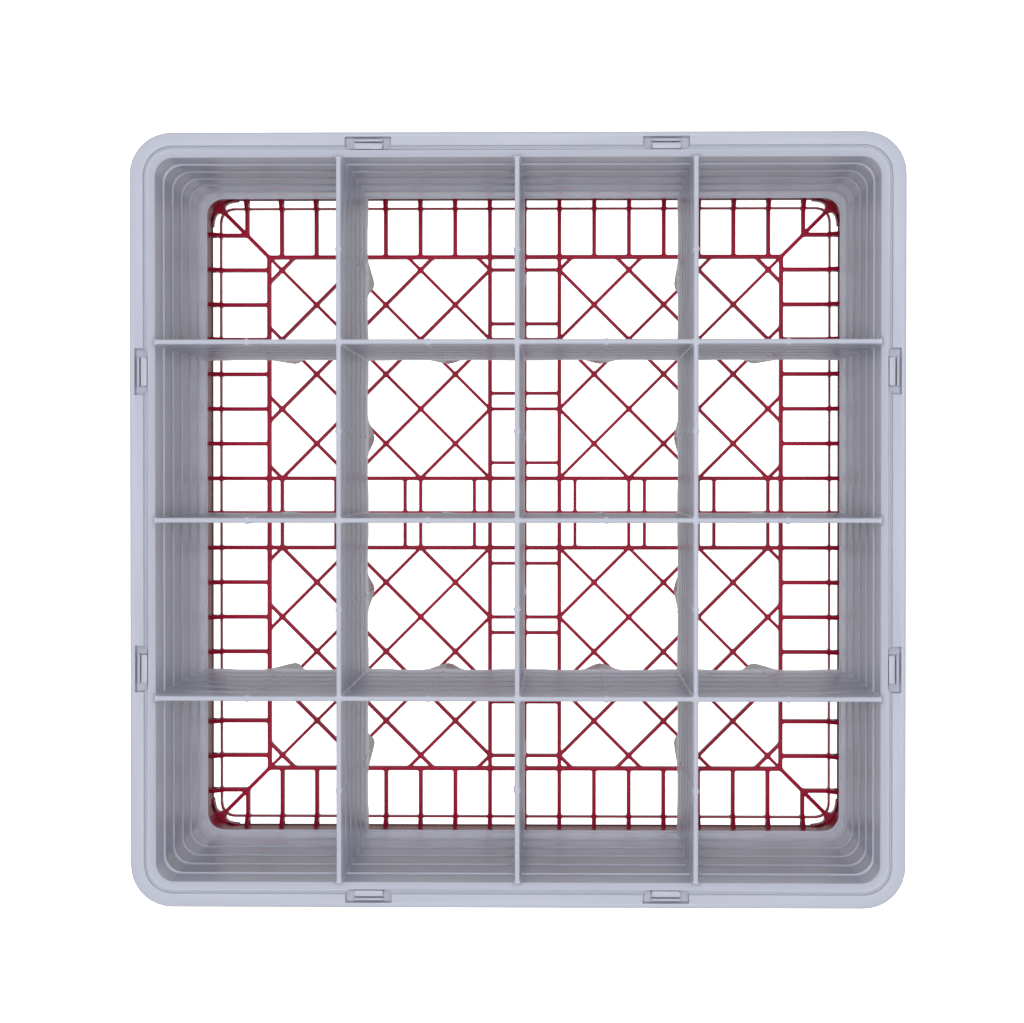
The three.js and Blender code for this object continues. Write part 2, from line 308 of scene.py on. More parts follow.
def prism(outline, low, high, flare=0.0):
    """A mesh from an outline in plan, standing from low to high; flare widens its top."""
    mesh = bmesh.new()
    middle = sum((Vector(point) for point in outline), Vector((0, 0))) / len(outline)
    foot = [mesh.verts.new((x, y, low)) for x, y in outline]
    head = []
    for point in outline:
        away = (Vector(point) - middle).normalized() * flare
        head.append(mesh.verts.new((point[0] + away.x, point[1] + away.y, high)))
    mesh.faces.new(foot[::-1])
    mesh.faces.new(head)
    bridge(mesh, foot, head)
    bmesh.ops.recalc_face_normals(mesh, faces=mesh.faces)
    return mesh


def plan_box(low, high, radius, steps=3):
    """Outline of a rectangle in plan with rounded corners."""
    corners = [(low[0], low[1]), (high[0], low[1]), (high[0], high[1]), (low[0], high[1])]
    return rounded_outline([(x, y, radius) for x, y in corners], steps)


def object_from(mesh, name):
    data = bpy.data.meshes.new(name)
    mesh.to_mesh(data)
    mesh.free()
    piece = bpy.data.objects.new(name, data)
    bpy.context.collection.objects.link(piece)
    return piece


def gather(meshes, matrices=(Matrix.Identity(4),)):
    """One mesh that holds each of the given meshes under each of the given matrices."""
    whole = bmesh.new()
    for mesh in meshes:
        for matrix in matrices:
            copy = mesh.copy()
            bmesh.ops.transform(copy, matrix=matrix, verts=copy.verts)
            holder = bpy.data.meshes.new("holder")
            copy.to_mesh(holder)
            whole.from_mesh(holder)
            bpy.data.meshes.remove(holder)
            copy.free()
        mesh.free()
    return whole


def settle(piece):
    """Applies a piece's modifiers."""
    graph = bpy.context.evaluated_depsgraph_get()
    finished = bpy.data.meshes.new_from_object(piece.evaluated_get(graph))
    piece.modifiers.clear()
    old = piece.data
    piece.data = finished
    bpy.data.meshes.remove(old)


def combine(piece, tool, operation):
    """Joins or cuts a piece with a closed tool, which is used up."""
    modifier = piece.modifiers.new("combine", "BOOLEAN")
    modifier.operation = operation
    modifier.solver = "MANIFOLD"
    modifier.object = tool
    settle(piece)
    bpy.data.objects.remove(tool)


def soften(piece, width):
    """Rounds the edges that are still sharp."""
    modifier = piece.modifiers.new("soften", "BEVEL")
    modifier.width = width
    modifier.segments = 2
    modifier.limit_method = "ANGLE"
    modifier.angle_limit = math.radians(SOFTEN_ANGLE)
    modifier.use_clamp_overlap = True
    settle(piece)


def smooth(piece, angle=32):
    piece.data.shade_smooth()
    piece.data.set_sharp_from_angle(angle=math.radians(angle))


def present(piece, body, material, slot, *nodes):
    """Gives a finished piece its material and its body and hides the nodes that it stands for; its slot is
    not used.
    """
    piece.data.materials.clear()
    piece.data.materials.append(bpy.data.materials[material])
    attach(piece, body)
    if nodes:
        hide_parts(*nodes)


# Wall sections and rim details shared by the base and the extenders


def rim_corners(sizes, top):
    """Rim, groove and top of the inner wall, from the outer face inward, as (depth, z, radius)."""
    groove = sizes.rim_width + sizes.groove_width
    return [
        (0, top, 1.6 * MM),
        (sizes.rim_width, top, 0.8 * MM),
        (sizes.rim_width + 0.3 * MM, top - sizes.groove_depth, 0.6 * MM),
        (groove, top - sizes.groove_depth, 0.6 * MM),
        (groove, top - 0.9 * MM, 0.8 * MM),
        (groove + 1.4 * MM, top - 1.1 * MM, 0.8 * MM),
        (sizes.wall_face, top - 5.2 * MM, 1.2 * MM),
    ]


def socket_cutters(sizes, top):
    """Tools for the eight snap sockets of a rim."""
    half = sizes.socket_length / 2
    tools = []
    for middle in (-sizes.socket_offset, sizes.socket_offset):
        outline = rounded_outline(
            [
                (middle - half, HALF - SKIN, 0.6 * MM),
                (middle + half, HALF - SKIN, 0.6 * MM),
                (middle + half, HALF - 11.4 * MM, 3.5 * MM),
                (middle - half, HALF - 11.4 * MM, 3.5 * MM),
            ]
        )
        tools.append(prism(outline, top - 9.6 * MM, top + 2 * MM))
    return gather(tools, SIDES)


def socket_catches(sizes, top):
    """The catch blocks that stand in the sockets: a high one by the groove and a low step behind it."""
    parts = []
    for middle in (-sizes.socket_offset, sizes.socket_offset):
        high = plan_box((middle - 9.5 * MM, HALF - 11 * MM), (middle + 9.5 * MM, HALF - 7 * MM), 1.2 * MM)
        low = plan_box((middle - 9.5 * MM, HALF - 5.9 * MM), (middle + 9.5 * MM, HALF - 4.3 * MM), 0.5 * MM)
        parts.append(prism(high, top - 10 * MM, top - 1.2 * MM, -0.3 * MM))
        parts.append(prism(low, top - 10 * MM, top - 2.8 * MM))
    return gather(parts, SIDES)


def hook_tabs(sizes):
    """The eight tabs under an extender, with a thickened root on the outer skin."""
    parts = []
    for middle in (-sizes.socket_offset, sizes.socket_offset):
        tab = plan_box((middle - 7.9 * MM, HALF - 5.5 * MM), (middle + 7.9 * MM, HALF - 3.7 * MM), 0.4 * MM)
        root = plan_box((middle - 7.9 * MM, HALF - 5.5 * MM), (middle + 7.9 * MM, HALF - 2.5 * MM), 0.4 * MM)
        parts.append(prism(tab, 0.2 * MM - HOOK_DROP, 9 * MM, 0.1 * MM))
        parts.append(prism(root, 0.6 * MM, 9 * MM))
    return gather(parts, SIDES)


def skin_ribs(depth_low, depth_high, low, high, spacing, thickness):
    """Short cross ribs in the hollow under a rim, along every side."""
    parts = []
    count = int((HALF - 30 * MM) / spacing)
    for step in range(-count, count + 1):
        x = step * spacing
        outline = [
            (x - thickness / 2, HALF - depth_high),
            (x + thickness / 2, HALF - depth_high),
            (x + thickness / 2, HALF - depth_low),
            (x - thickness / 2, HALF - depth_low),
        ]
        parts.append(prism(outline, low, high))
    return gather(parts, SIDES)


def extender_shell(sizes):
    """Side frame of one extender, its foot at z = 0."""
    face = sizes.wall_face
    inner_skin = 2.6 * MM
    web = BODY - 12.4 * MM
    section = rounded_outline(
        [(0, 0, 0.5 * MM), (0, BODY - 13 * MM, 0.3 * MM), (0, BODY - 12.2 * MM, 0.3 * MM)]
        + rim_corners(sizes, BODY)
        + [
            (face, 3.4 * MM, 1.2 * MM),
            (face + 1.25 * MM, 2.5 * MM, 0.7 * MM),
            (face + 1.25 * MM, 0, 1.0 * MM),
            (face - inner_skin, 0, 0.4 * MM),
            (face - inner_skin, web, 0.8 * MM),
            (SKIN, web, 0.8 * MM),
            (SKIN, 0, 0.4 * MM),
        ]
    )
    shell = object_from(sweep_square(section), "extender_shell")
    combine(shell, object_from(socket_cutters(sizes, BODY), "cut"), "DIFFERENCE")
    soften(shell, 0.35 * MM)
    ribs = skin_ribs(
        SKIN - 0.5 * MM, face - inner_skin + 0.5 * MM, 6 * MM, web + 0.5 * MM, 53.7 * MM, 1.6 * MM
    )
    extras = object_from(gather([socket_catches(sizes, BODY), hook_tabs(sizes), ribs]), "extras")
    soften(extras, 0.3 * MM)
    combine(shell, extras, "UNION")
    smooth(shell)
    return shell


# Dividers


def smoothstep(value):
    value = min(max(value, 0.0), 1.0)
    return value * value * (3 - 2 * value)


class DividerShape:
    """Thickness and edges of a divider as they change along its length."""

    post_arm = 14 * MM
    arch_rise = 8 * MM
    arch_run = 13 * MM
    cross_fillet = 1.3 * MM
    wall_fillet = 1.8 * MM
    lobe_half = 15 * MM
    lobe_tip = 2.8 * MM
    lobe_taper = 0.55  # thickness at a lobe's edge, as a share of the divider's
    lobe_least = 0.7 * MM  # least half-thickness at a lobe's edge
    bead_height = 0.8 * MM
    bead_reach = 1.8 * MM
    edge_round = 1.25 * MM

    def __init__(self, sizes, lobes):
        self.half = sizes.divider_thickness / 2
        self.reach = HALF - sizes.wall_face + 0.3 * MM
        self.top = BODY - 2.6 * MM
        self.lobes = lobes
        pitch = sizes.divider_pitch
        self.lines = [-pitch, 0, pitch]
        self.corner = self.half + self.cross_fillet * (1 - math.cos(math.pi / 4))

    def fillet(self, distance, radius, floor):
        """Extra half-thickness at a distance from the middle of a crossing or from a wall."""
        short = floor + radius - distance
        if short <= 0:
            return 0.0
        return radius - math.sqrt(max(radius * radius - short * short, 0))

    def half_at(self, place, start, end):
        """Half-thickness at a place between two supports."""
        extra = 0.0
        for support in (start, end):
            distance = abs(place - support)
            if abs(support) > self.reach - MM:
                extra += self.fillet(distance, self.wall_fillet, 0)
            else:
                extra += self.fillet(distance, self.cross_fillet, self.half)
        middle = abs(place - (start + end) / 2)
        bead = self.bead_height * (1 - smoothstep(middle / self.bead_reach))
        return self.half + extra + bead

    def foot_at(self, place, start, end):
        """Height of the lower edge at a place between two supports."""
        distance = min(abs(place - start), abs(place - end))
        foot = self.arch_rise * smoothstep((distance - self.post_arm) / self.arch_run)
        middle = abs(place - (start + end) / 2)
        if self.lobes and middle < self.lobe_half:
            share = 1 - max(middle - self.lobe_tip, 0) / (self.lobe_half - self.lobe_tip)
            foot -= (foot + LOBE_DROP - 1 * MM) * share
        return foot

    def stations(self, start, end):
        """Places along a span where the section changes."""
        near = [self.corner + self.cross_fillet * part for part in (0, 0.15, 0.35, 0.6, 1.0)]
        wall = [self.wall_fillet * part for part in (0, 0.1, 0.25, 0.5, 1.0)]
        rise = [self.post_arm + self.arch_run * part for part in (0, 0.2, 0.4, 0.6, 0.8, 1.0)]
        middle = (start + end) / 2
        centre = [2.0 * MM * part for part in (0, 0.3, 0.6, 1.0)]
        if self.lobes:
            centre += [self.lobe_half * part for part in (0.25, 0.4, 0.6, 0.8, 0.93, 1.0)]
        places = [middle + side * offset for offset in centre for side in (-1, 1)]
        for support, sign in ((start, 1), (end, -1)):
            first = wall if abs(support) > self.reach - MM else near
            places += [support + sign * offset for offset in first + rise]
        return sorted({round(place, 7) for place in places})

    def section(self, half, foot):
        """Closed section as (across, z) points with rounded top and bottom edges."""
        curve = []
        for step in range(4):
            angle = math.radians(30 * step)
            curve.append((self.edge_round * (1 - math.cos(angle)), self.edge_round * (1 - math.sin(angle))))
        upper = [(-half + inset, self.top - drop) for inset, drop in curve]
        upper += [(-across, z) for across, z in upper[::-1]]
        shoulder = max(foot + 2.5 * MM, self.arch_rise - 1 * MM)
        edge = half
        if foot < -MM:
            edge = max(min(half, self.half + 0.9 * MM) * self.lobe_taper, self.lobe_least)
        bend = min(self.edge_round, edge) / self.edge_round
        right = [(half, shoulder)]
        right += [(edge - inset * bend, foot + drop * bend) for inset, drop in curve]
        left = [(-across, z) for across, z in right[::-1]]
        return upper + right + left


def divider_grid(sizes, lobes):
    """Crossed dividers of one extender, their foot at z = 0."""
    shape = DividerShape(sizes, lobes)
    mesh = bmesh.new()
    supports = [-shape.reach] + shape.lines + [shape.reach]
    for turned in (False, True):
        for line in shape.lines:
            for start, end in zip(supports, supports[1:]):
                add_span(mesh, shape, line, start, end, turned)
    for x in shape.lines:
        for y in shape.lines:
            add_crossing(mesh, shape, x, y)
    bmesh.ops.remove_doubles(mesh, verts=mesh.verts, dist=0.02 * MM)
    bmesh.ops.recalc_face_normals(mesh, faces=mesh.faces)
    return mesh


def add_span(mesh, shape, line, start, end, turned):
    """One stretch of a divider between two supports."""
    rings = []
    for place in shape.stations(start, end):
        section = shape.section(shape.half_at(place, start, end), shape.foot_at(place, start, end))
        ring = []
        for across, z in section:
            x, y = (line + across, place) if turned else (place, line + across)
            ring.append(mesh.verts.new((x, y, z)))
        rings.append(ring)
    for ring, beside in zip(rings, rings[1:]):
        bridge(mesh, ring, beside)
    for support, ring in ((start, rings[0]), (end, rings[-1])):
        if abs(support) > shape.reach - MM:
            mesh.faces.new(ring)


def add_crossing(mesh, shape, x, y):
    """Top and bottom of the small square where two dividers cross."""
    section = shape.section(shape.corner, 0)
    across = [point[0] for point in section[:8]]
    drops = [shape.top - z for _, z in section[:8]]
    rises = [z for _, z in section[9:13]]
    for base, sign, levels in ((shape.top, -1, drops), (0, 1, rises + rises[::-1])):
        grid = []
        for i in range(8):
            row = []
            for j in range(8):
                height = base + sign * min(levels[i], levels[j])
                row.append(mesh.verts.new((x + across[i], y + across[j], height)))
            grid.append(row)
        for i in range(7):
            for j in range(7):
                mesh.faces.new((grid[i][j], grid[i + 1][j], grid[i + 1][j + 1], grid[i][j + 1]))


# Lattice floor


class FloorPlan:
    """Bars of the lattice floor in plan, cut where they meet."""

    tangent = 1.5 * MM  # reach of the small fillet at each meeting
    join = 0.05 * MM

    def __init__(self):
        self.bars = []

    def add(self, start, end, thickness):
        """Adds a bar and its copies on the other three sides."""
        for turn in SIDES:
            ends = [(turn @ Vector((x, y, 0))).to_2d() for x, y in (start, end)]
            self.bars.append((ends[0], ends[1], thickness))

    def key(self, point):
        return (round(point.x / self.join), round(point.y / self.join))

    def network(self):
        """Meeting points, and the pieces of bar between them."""
        cuts = [{0.0, 1.0} for _ in self.bars]
        for i, (a, b, _) in enumerate(self.bars):
            for j in range(i + 1, len(self.bars)):
                c, d, _ = self.bars[j]
                across = (b - a).cross(d - c)
                if abs(across) < 1e-12:
                    continue
                s = (c - a).cross(d - c) / across
                t = (c - a).cross(b - a) / across
                slack_s = self.join / (b - a).length
                slack_t = self.join / (d - c).length
                if -slack_s <= s <= 1 + slack_s and -slack_t <= t <= 1 + slack_t:
                    cuts[i].add(min(max(s, 0.0), 1.0))
                    cuts[j].add(min(max(t, 0.0), 1.0))
        points, links = {}, {}
        for (a, b, thickness), places in zip(self.bars, cuts):
            chain = []
            for place in sorted(places):
                point = a.lerp(b, place)
                near = self.find(points, point)
                if not chain or chain[-1] != near:
                    chain.append(near)
            for first, second in zip(chain, chain[1:]):
                pair = (min(first, second), max(first, second))
                links[pair] = max(links.get(pair, 0), thickness)
        return points, links

    def find(self, points, point):
        """The key of a stored point at the same place, stored now if it is new."""
        x, y = self.key(point)
        for dx in (-1, 0, 1):
            for dy in (-1, 0, 1):
                if (x + dx, y + dy) in points:
                    return (x + dx, y + dy)
        points[(x, y)] = point
        return (x, y)


def lattice_mesh(plan, low, high):
    """A solid lattice from a floor plan, with a small fillet in every corner."""
    points, links = plan.network()
    around = {key: [] for key in points}
    for (first, second), thickness in links.items():
        for here, there in ((first, second), (second, first)):
            run = points[there] - points[here]
            around[here].append((math.atan2(run.y, run.x), there, thickness / 2, run.length))
    mesh = bmesh.new()
    mouths = {}
    for key, arms in around.items():
        arms.sort()
        add_meeting(mesh, plan, key, points[key], arms, mouths)
    for first, second in links:
        left, right = mouths[(first, second)]
        far_left, far_right = mouths[(second, first)]
        mesh.faces.new((right, far_left, far_right, left))
    bmesh.ops.remove_doubles(mesh, verts=mesh.verts, dist=0.01 * MM)
    bmesh.ops.recalc_face_normals(mesh, faces=mesh.faces)
    for face in mesh.faces:
        if face.normal.z < 0:
            face.normal_flip()
    for vert in mesh.verts:
        vert.co.z = high
    flat = list(mesh.faces)
    lifted = bmesh.ops.extrude_face_region(mesh, geom=flat, use_keep_orig=True)
    for item in lifted["geom"]:
        if isinstance(item, bmesh.types.BMVert):
            item.co.z = low
    bmesh.ops.recalc_face_normals(mesh, faces=mesh.faces)
    rims = [edge for edge in mesh.edges if is_top_rim(edge, high)]
    bmesh.ops.bevel(
        mesh, geom=rims, offset=0.45 * MM, segments=2, profile=0.5, affect="EDGES", clamp_overlap=False
    )
    return mesh


def is_top_rim(edge, high):
    """True for an edge between the flat top and an upright side."""
    if min(vert.co.z for vert in edge.verts) < high - 0.01 * MM or len(edge.link_faces) != 2:
        return False
    flat = [abs(face.normal.z) > 0.9 for face in edge.link_faces]
    return flat[0] != flat[1]


def add_meeting(mesh, plan, key, point, arms, mouths):
    """The filleted plate where bars meet, and the mouth of each bar."""
    count = len(arms)
    corners = []
    for index in range(count):
        angle, _, half, room = arms[index]
        next_angle, _, next_half, next_room = arms[(index + 1) % count]
        gap = (next_angle - angle) % (2 * math.pi) or 2 * math.pi
        corners.append(corner_points(plan, gap, half, next_half, min(room, next_room)))
    outline = []
    for index in range(count):
        angle, there, half, room = arms[index]
        along = Vector((math.cos(angle), math.sin(angle)))
        side = Vector((-along.y, along.x))
        after, before = corners[index], corners[index - 1]
        mouth = 0.0 if count == 1 else max(after["first"], before["second"], 0.0)
        mouth = min(mouth, room * 0.49)
        right = mesh.verts.new((*(point + along * mouth - side * half), 0))
        left = mesh.verts.new((*(point + along * mouth + side * half), 0))
        mouths[(key, there)] = (left, right)
        outline += [right, left]
        if count == 1:
            return
        for distance, offset in after["curve"]:
            spot = point + along * distance + side * offset
            if (spot - left.co.to_2d()).length > 0.02 * MM:
                outline.append(mesh.verts.new((*spot, 0)))
    middle = mesh.verts.new((*point, 0))
    for index in range(len(outline)):
        after = (index + 1) % len(outline)
        first, second = outline[index], outline[after]
        if (first.co - second.co).length > 0.001 * MM:
            mesh.faces.new((middle, first, second))


def corner_points(plan, gap, half, next_half, room):
    """Fillet between two bars, as (distance, offset) along and beside the first bar."""
    sine, cosine = math.sin(gap), math.cos(gap)
    if abs(sine) < 1e-3:
        offset = max(half, next_half)
        return {"first": 0.0, "second": 0.0, "curve": [(0.0, offset)] if gap < 4 else []}
    distance = (next_half + half * cosine) / sine
    next_distance = (half + next_half * cosine) / sine
    if gap > math.pi:
        return {"first": max(distance, 0), "second": max(next_distance, 0), "curve": [(distance, half)]}
    reach = min(plan.tangent, max(room * 0.45 - max(distance, next_distance), 0.02 * MM))
    start = Vector((distance + reach, half))
    tip = Vector((distance, half))
    end = tip + Vector((cosine, sine)) * reach
    curve = []
    for step in range(4):
        part = step / 3
        curve.append(tuple(start.lerp(tip, part).lerp(tip.lerp(end, part), part)))
    return {"first": distance + reach, "second": next_distance + reach, "curve": curve}


def floor_plan(sizes):
    """Every bar of the lattice floor, counted in modules from the middle."""
    plan = FloorPlan()
    wall = FLOOR_HALF + 0.6 * MM
    module = FLOOR_HALF / MODULES
    border = 7.37 * module
    rib, brace, line = sizes.rib_thickness, sizes.brace_thickness, 1.2 * MM
    plan.add((-border, border), (border, border), rib)
    for step in range(1 - MODULES, MODULES):
        inner = max(abs(step) * module, border)
        plan.add((step * module, inner), (step * module, wall), rib)
    for step in (-1, 0, 1):
        plan.add((step * module, 0), (step * module, border), rib)
    for step in (1.45, 3, 3.45, 5, 5.45, 7):
        plan.add((-module, step * module), (module, step * module), brace)
    for step in range(-8, 16, 2):
        add_brace(plan, step, 1, module, border, brace)
        add_brace(plan, step, -1, module, border, brace)
    plan.add((border, border), (wall - 6.4 * MM, wall - 6.4 * MM), rib)
    inset, turn = wall - 7 * MM, 10 * MM
    plan.add((-inset + turn, inset), (inset - turn, inset), line)
    centre = Vector((inset - turn, inset - turn))
    bend = []
    for step in range(5):
        angle = math.radians(90 - 22.5 * step)
        bend.append(centre + turn * Vector((math.cos(angle), math.sin(angle))))
    for first, second in zip(bend, bend[1:]):
        plan.add(first, second, line)
    return plan


def add_brace(plan, step, slope, module, border, thickness):
    """One diagonal of the floor's first quarter, clipped between the centre band and the border."""
    low, high = module, border
    if slope > 0:
        start = max(low, low - step * module)
        end = min(high, high - step * module)
        ends = [(x + step * module, x) for x in (start, end)]
    else:
        start = max(low, step * module - high)
        end = min(high, step * module - low)
        ends = [(x, step * module - x) for x in (start, end)]
    if end - start > MM:
        plan.add(ends[0], ends[1], thickness)


# Base


def corner_gussets():
    """Solid webs with hollow sides that tie the floor's corner struts to the walls."""
    wall = FLOOR_HALF + 0.8 * MM
    reach, tip = 21 * MM, 12.5 * MM
    outline = [Vector((wall - reach, wall)), Vector((wall - reach, wall - 1.5 * MM))]
    start, end = outline[-1], Vector((wall - tip - 1.2 * MM, wall - tip + 1.2 * MM))
    pull = Vector((wall - 5 * MM, wall - 2.6 * MM))
    for step in range(1, 8):
        part = step / 8
        outline.append(start.lerp(pull, part).lerp(pull.lerp(end, part), part))
    mirrored = [Vector((point.y, point.x)) for point in outline[::-1]]
    corner = Vector((wall - 4.5 * MM, wall - 4.5 * MM))
    web = prism([*outline, *mirrored, corner], 0.4 * MM, FLOOR_HEIGHT + 3 * MM)
    return gather([web], SIDES)


def wall_ties():
    """Wedges that run up the wall from the end of every floor rib."""
    module = FLOOR_HALF / MODULES
    parts = []
    for step in range(1 - MODULES, MODULES):
        mesh = prism([(-3.4 * MM, -1), (7.4 * MM, -1), (7.4 * MM, 1), (-3.4 * MM, 1)], 0, 1)
        for vert in mesh.verts:
            outward, side, rise = vert.co
            height = 20 * MM if outward > 0 else FLOOR_HEIGHT - 0.6 * MM
            x = step * module + side * 1.55 * MM
            vert.co = (x, FLOOR_HALF - 6 * MM + outward, height if rise else 1 * MM)
        bmesh.ops.recalc_face_normals(mesh, faces=mesh.faces)
        parts.append(mesh)
    return gather(parts, SIDES)


def base_shell(sizes):
    """Walls, lattice floor, corner webs and rim of the base as one solid."""
    inset, face, skirt = 5 * MM, 8 * MM, BASE_TOP - 42 * MM
    web = BASE_TOP - 12.6 * MM
    inner = sizes.wall_face
    section = rounded_outline(
        [
            (inset, 0, 0.5 * MM),
            (inset, web, 0.5 * MM),
            (SKIN, web, 0.4 * MM),
            (SKIN, skirt, 0.4 * MM),
            (0, skirt, 0.8 * MM),
        ]
        + rim_corners(sizes, BASE_TOP)
        + [(inner, web, 1.5 * MM), (face, web - 9 * MM, 2.5 * MM), (face, 0, 0.5 * MM)]
    )
    shell = object_from(sweep_square(section), "base_shell")
    combine(shell, object_from(socket_cutters(sizes, BASE_TOP), "cut"), "DIFFERENCE")
    grips = object_from(gather([handhold_cutter()], SIDES), "cut")
    combine(shell, grips, "DIFFERENCE")
    soften(shell, 0.5 * MM)
    ribs = skin_ribs(2.5 * MM, 5.4 * MM, skirt + 5 * MM, web + 0.5 * MM, 27 * MM, 1.6 * MM)
    clear = object_from(ribs, "ribs")
    combine(clear, object_from(gather([handhold_cutter(6 * MM)], SIDES), "cut"), "DIFFERENCE")
    combine(shell, clear, "UNION")
    for part in (socket_catches(sizes, BASE_TOP), wall_ties(), corner_gussets()):
        tool = object_from(part, "part")
        soften(tool, 0.4 * MM)
        combine(shell, tool, "UNION")
    lattice = object_from(lattice_mesh(floor_plan(sizes), 0.3 * MM, FLOOR_HEIGHT), "lattice")
    combine(shell, lattice, "UNION")
    smooth(shell)
    return shell


def handhold_cutter(grow=0.0):
    """A rounded slot through the back wall, lying along X."""
    half_length, half_height, radius = 56 * MM + grow, 11 * MM + grow, 7 * MM
    middle = BASE_TOP - 28 * MM
    corners = [(-half_length, -half_height), (half_length, -half_height)]
    corners += [(half_length, half_height), (-half_length, half_height)]
    mesh = prism(rounded_outline([(x, y, radius) for x, y in corners], 5), HALF - 18 * MM, HALF + 2 * MM)
    turn = Matrix(((1, 0, 0, 0), (0, 0, 1, 0), (0, 1, 0, middle), (0, 0, 0, 1)))
    bmesh.ops.transform(mesh, matrix=turn, verts=mesh.verts)
    bmesh.ops.recalc_face_normals(mesh, faces=mesh.faces)
    return mesh


# Operators


class RACK_OT_materials(bpy.types.Operator):
    """Makes the plastics of the rack"""

    bl_idname = "rack.materials"
    bl_label = "Make materials"

    def execute(self, context):
        colours = context.scene.rack_colours
        moulded_plastic("base_plastic", colours.base, 0.4, 0.0, 0.02)
        moulded_plastic("extender_plastic", colours.extender, 0.32, 0.08, 0.5)
        return {"FINISHED"}


class RACK_OT_base(bpy.types.Operator):
    """Builds the base with its walls, rim and lattice floor"""

    bl_idname = "rack.base"
    bl_label = "Make base"

    def execute(self, context):
        shell = base_shell(context.scene.rack_sizes)
        shell.name = "base_moulding"
        present(shell, "base", "base_plastic", "base_plastic", "base_walls", "base_floor_grid")
        return {"FINISHED"}


class RACK_OT_frames(bpy.types.Operator):
    """Builds the side frame of every extender"""

    bl_idname = "rack.frames"
    bl_label = "Make extender frames"

    def execute(self, context):
        pattern = extender_shell(context.scene.rack_sizes)
        for level in range(1, LEVELS + 1):
            place_copy(pattern, f"extender_{level}_shell", level, f"extender_{level}_frame")
        bpy.data.objects.remove(pattern)
        return {"FINISHED"}


class RACK_OT_dividers(bpy.types.Operator):
    """Builds the crossed dividers of every extender, the lowest with hanging lobes"""

    bl_idname = "rack.dividers"
    bl_label = "Make dividers"

    def execute(self, context):
        sizes = context.scene.rack_sizes
        plain = object_from(divider_grid(sizes, False), "plain_grid")
        lobed = object_from(divider_grid(sizes, True), "lobed_grid")
        for pattern in (plain, lobed):
            smooth(pattern, 40)
        for level in range(1, LEVELS + 1):
            pattern = lobed if level == 1 else plain
            nodes = [f"extender_{level}_divider_{way}{row}" for way in "xy" for row in (1, 2, 3)]
            place_copy(pattern, f"extender_{level}_grid", level, *nodes)
        for pattern in (plain, lobed):
            bpy.data.objects.remove(pattern)
        return {"FINISHED"}


def place_copy(pattern, name, level, *nodes):
    """A copy of a pattern at one extender's level, with its own mesh."""
    data = pattern.data.copy()
    foot = top_of(f"extender_{level}_frame") - BODY
    data.transform(Matrix.Translation((0, 0, foot)))
    piece = bpy.data.objects.new(name, data)
    bpy.context.collection.objects.link(piece)
    present(piece, f"extender_{level}", "extender_plastic", "extender_plastic", *nodes)


class RACK_OT_stage(bpy.types.Operator):
    """Adds the floor, the cards, the lights and the camera"""

    bl_idname = "rack.stage"
    bl_label = "Make stage"

    def execute(self, context):
        make_floor(context.scene.rack_colours.floor)
        make_card("bounce_card", BASE_TOP, 1.25, False)
        make_card("gloss_card", -0.2 * MM, 0.55, True)
        make_lights()
        make_camera()
        return {"FINISHED"}


def make_floor(tint):
    """A pale floor that turns up into a backdrop all round."""
    mesh = bmesh.new()
    bmesh.ops.create_circle(mesh, cap_ends=True, segments=64, radius=6.0)
    edges = [edge for edge in mesh.edges if edge.is_boundary]
    for scale, height in ((1.15, 0.15), (1.1, 0.9), (1.0, 14.0)):
        ring = bmesh.ops.extrude_edge_only(mesh, edges=edges)["geom"]
        verts = [item for item in ring if isinstance(item, bmesh.types.BMVert)]
        edges = [item for item in ring if isinstance(item, bmesh.types.BMEdge)]
        bmesh.ops.transform(mesh, matrix=Matrix.Diagonal((scale, scale, 1, 1)), verts=verts)
        bmesh.ops.translate(mesh, vec=(0, 0, height), verts=verts)
    floor = object_from(mesh, "floor")
    floor.visible_shadow = False
    floor.location.z = -0.3 * MM
    floor.visible_diffuse = False
    floor.visible_glossy = False
    graph = Graph(bpy.data.materials.new("floor"))
    graph.shader.inputs["Base Color"].default_value = tone(tint, 1.0)
    graph.shader.inputs["Roughness"].default_value = 0.8
    graph.shader.inputs["Emission Color"].default_value = (1, 0.998, 0.99, 1)
    graph.shader.inputs["Emission Strength"].default_value = 1.0
    floor.data.materials.append(graph.owner)


def make_card(name, level, strength, in_gloss):
    """An unseen bright card between the walls that either lights them or shows in their gloss."""
    mesh = bmesh.new()
    bmesh.ops.create_grid(mesh, x_segments=1, y_segments=1, size=FLOOR_HALF - 2 * MM)
    card = object_from(mesh, name)
    card.location.z = level
    card.visible_camera = False
    card.visible_diffuse = not in_gloss
    card.visible_glossy = in_gloss
    card.visible_shadow = False
    graph = Graph(bpy.data.materials.new(name))
    behind = graph.node("ShaderNodeNewGeometry", output=6)
    graph.feed(graph.shader.inputs["Emission Color"], 1 - behind * 0.76)
    graph.shader.inputs["Base Color"].default_value = (0, 0, 0, 1)
    graph.shader.inputs["Emission Strength"].default_value = strength
    card.data.materials.append(graph.owner)


